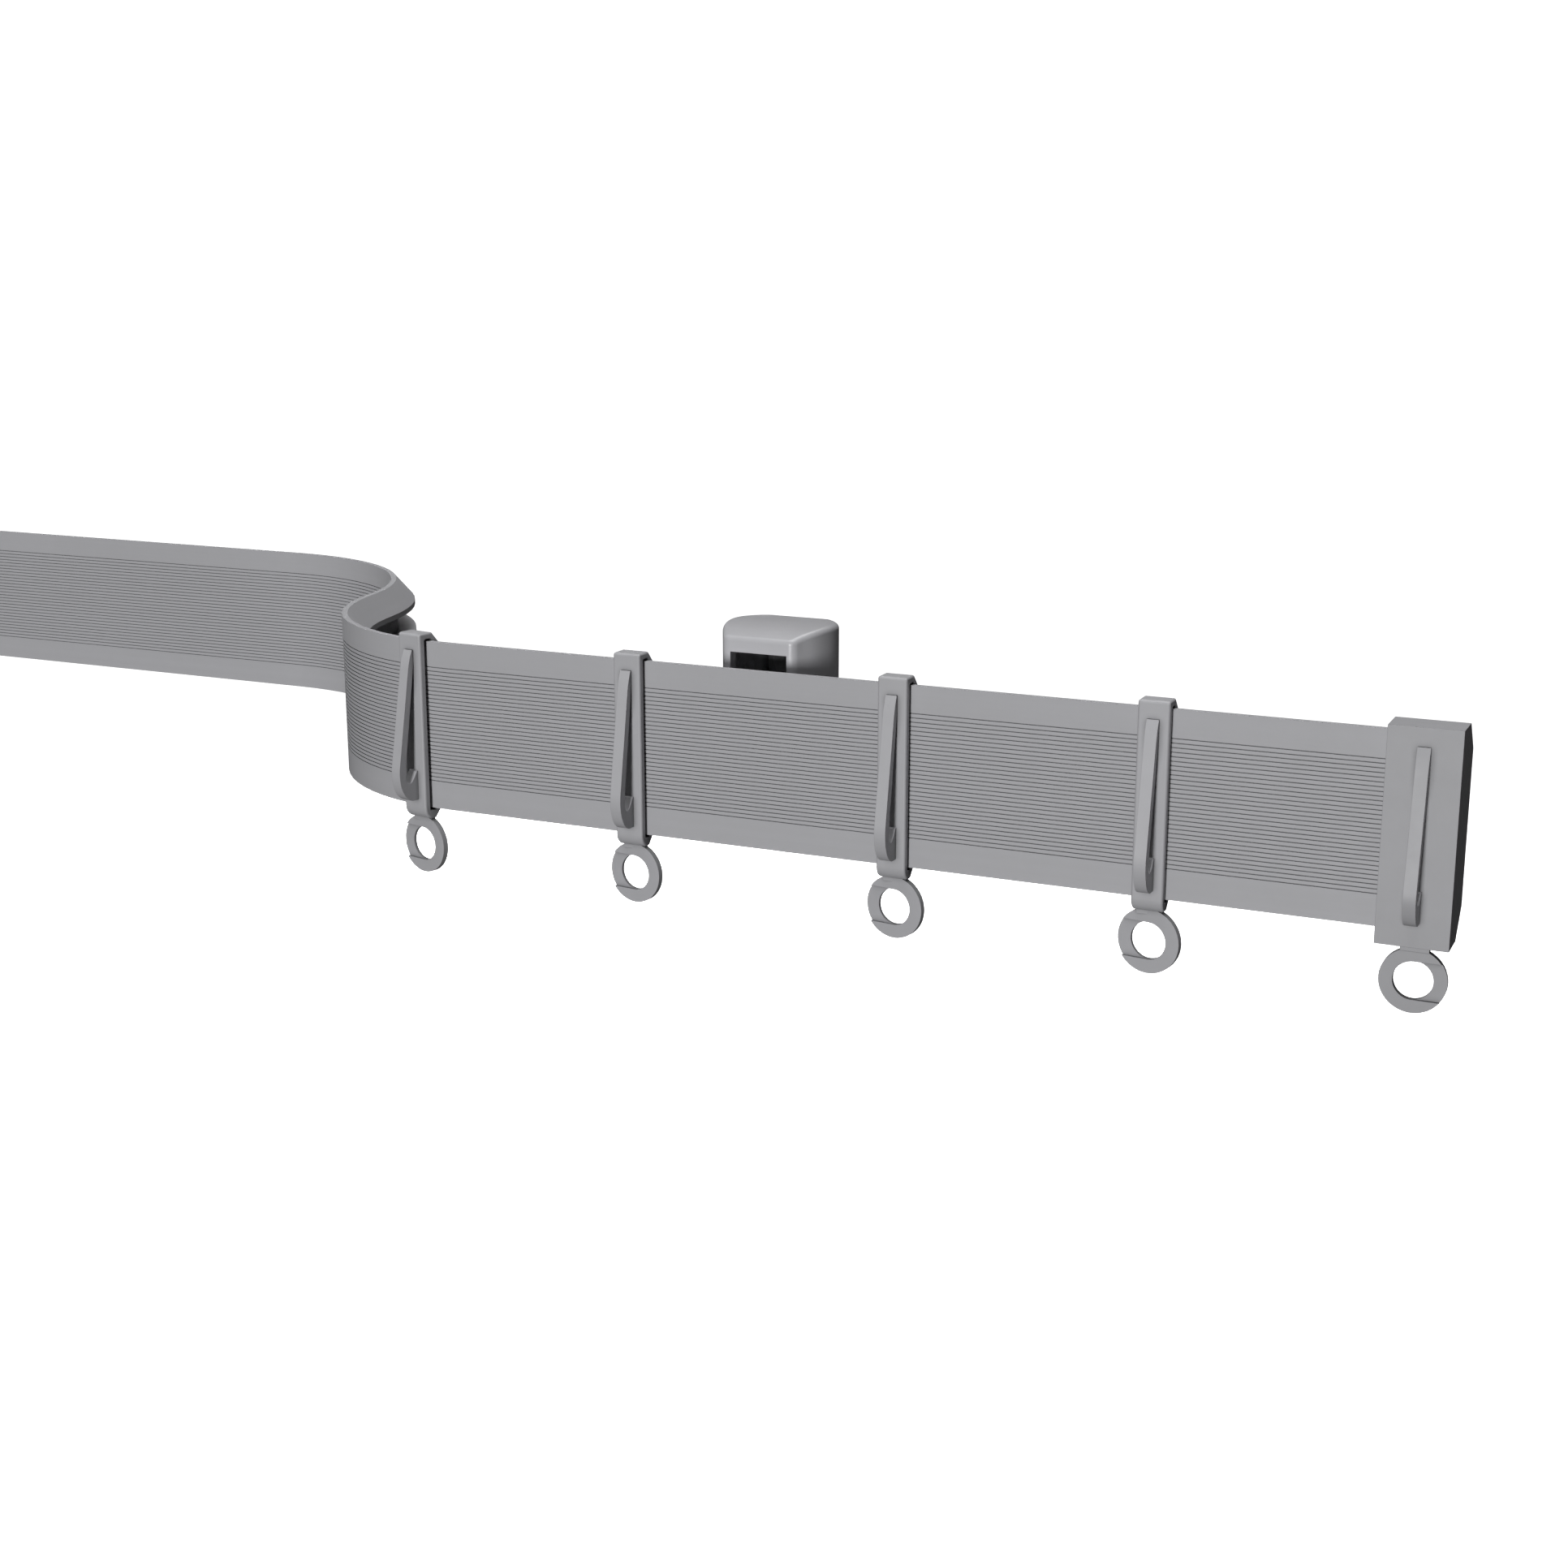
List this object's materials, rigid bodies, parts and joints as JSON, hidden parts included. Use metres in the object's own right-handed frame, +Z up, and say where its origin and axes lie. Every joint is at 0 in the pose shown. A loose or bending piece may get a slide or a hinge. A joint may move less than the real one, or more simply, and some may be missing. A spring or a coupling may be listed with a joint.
{
  "type": "curtain track",
  "caption": "Flat ribbed curtain rail with a double bend, glide-over hooks and rings that slide on it, moulded end stops and two rounded wall brackets.",
  "frame": {"origin": "centre of the right-hand bracket's wall face, at the rail's mid height", "axes": "+X along the track towards its front (right-hand) end, +Y into the wall, +Z up"},
  "size_m": [0.389, 0.1046, 0.0446],
  "materials": {
    "rail": "satin, fine ribs along its length",
    "glider": "satin moulded",
    "end_stop": "satin moulded",
    "bracket": "satin moulded",
    "bracket_inside": "satin moulded",
    "steel": "zinc plated"
  },
  "bodies": {
    "track": {"track_rail": "rail", "end_stop_right": "end_stop", "end_stop_left": "end_stop", "bracket_1_housing": "bracket", "bracket_1_wall_plate": "bracket_inside", "bracket_1_rail_clip": "bracket_inside", "bracket_1_clamp_screw": "steel", "bracket_1_clamp_nut": "steel", "bracket_2_housing": "bracket", "bracket_2_wall_plate": "bracket_inside", "bracket_2_rail_clip": "bracket_inside", "bracket_2_clamp_screw": "steel", "bracket_2_clamp_nut": "steel"},
    "glider_1": {"glider_1": "glider"},
    "glider_2": {"glider_2": "glider"},
    "glider_3": {"glider_3": "glider"},
    "glider_4": {"glider_4": "glider"}
  },
  "joints": [
    {"name": "glider_1_round_bend", "type": "hinge", "parent": "track", "child": "glider_1", "pos_m": [-0.05177, 0.01729, 0], "axis": [0, 0, -1], "range_deg": [-4.9, 64]},
    {"name": "glider_2_slide", "type": "slide", "parent": "track", "child": "glider_2", "axis": [1, 0, 0], "range_m": [-0.026, 0.017]},
    {"name": "glider_3_slide", "type": "slide", "parent": "track", "child": "glider_3", "axis": [1, 0, 0], "range_m": [-0.017, 0.0145]},
    {"name": "glider_4_slide", "type": "slide", "parent": "track", "child": "glider_4", "axis": [1, 0, 0], "range_m": [-0.0145, 0.027]}
  ]
}
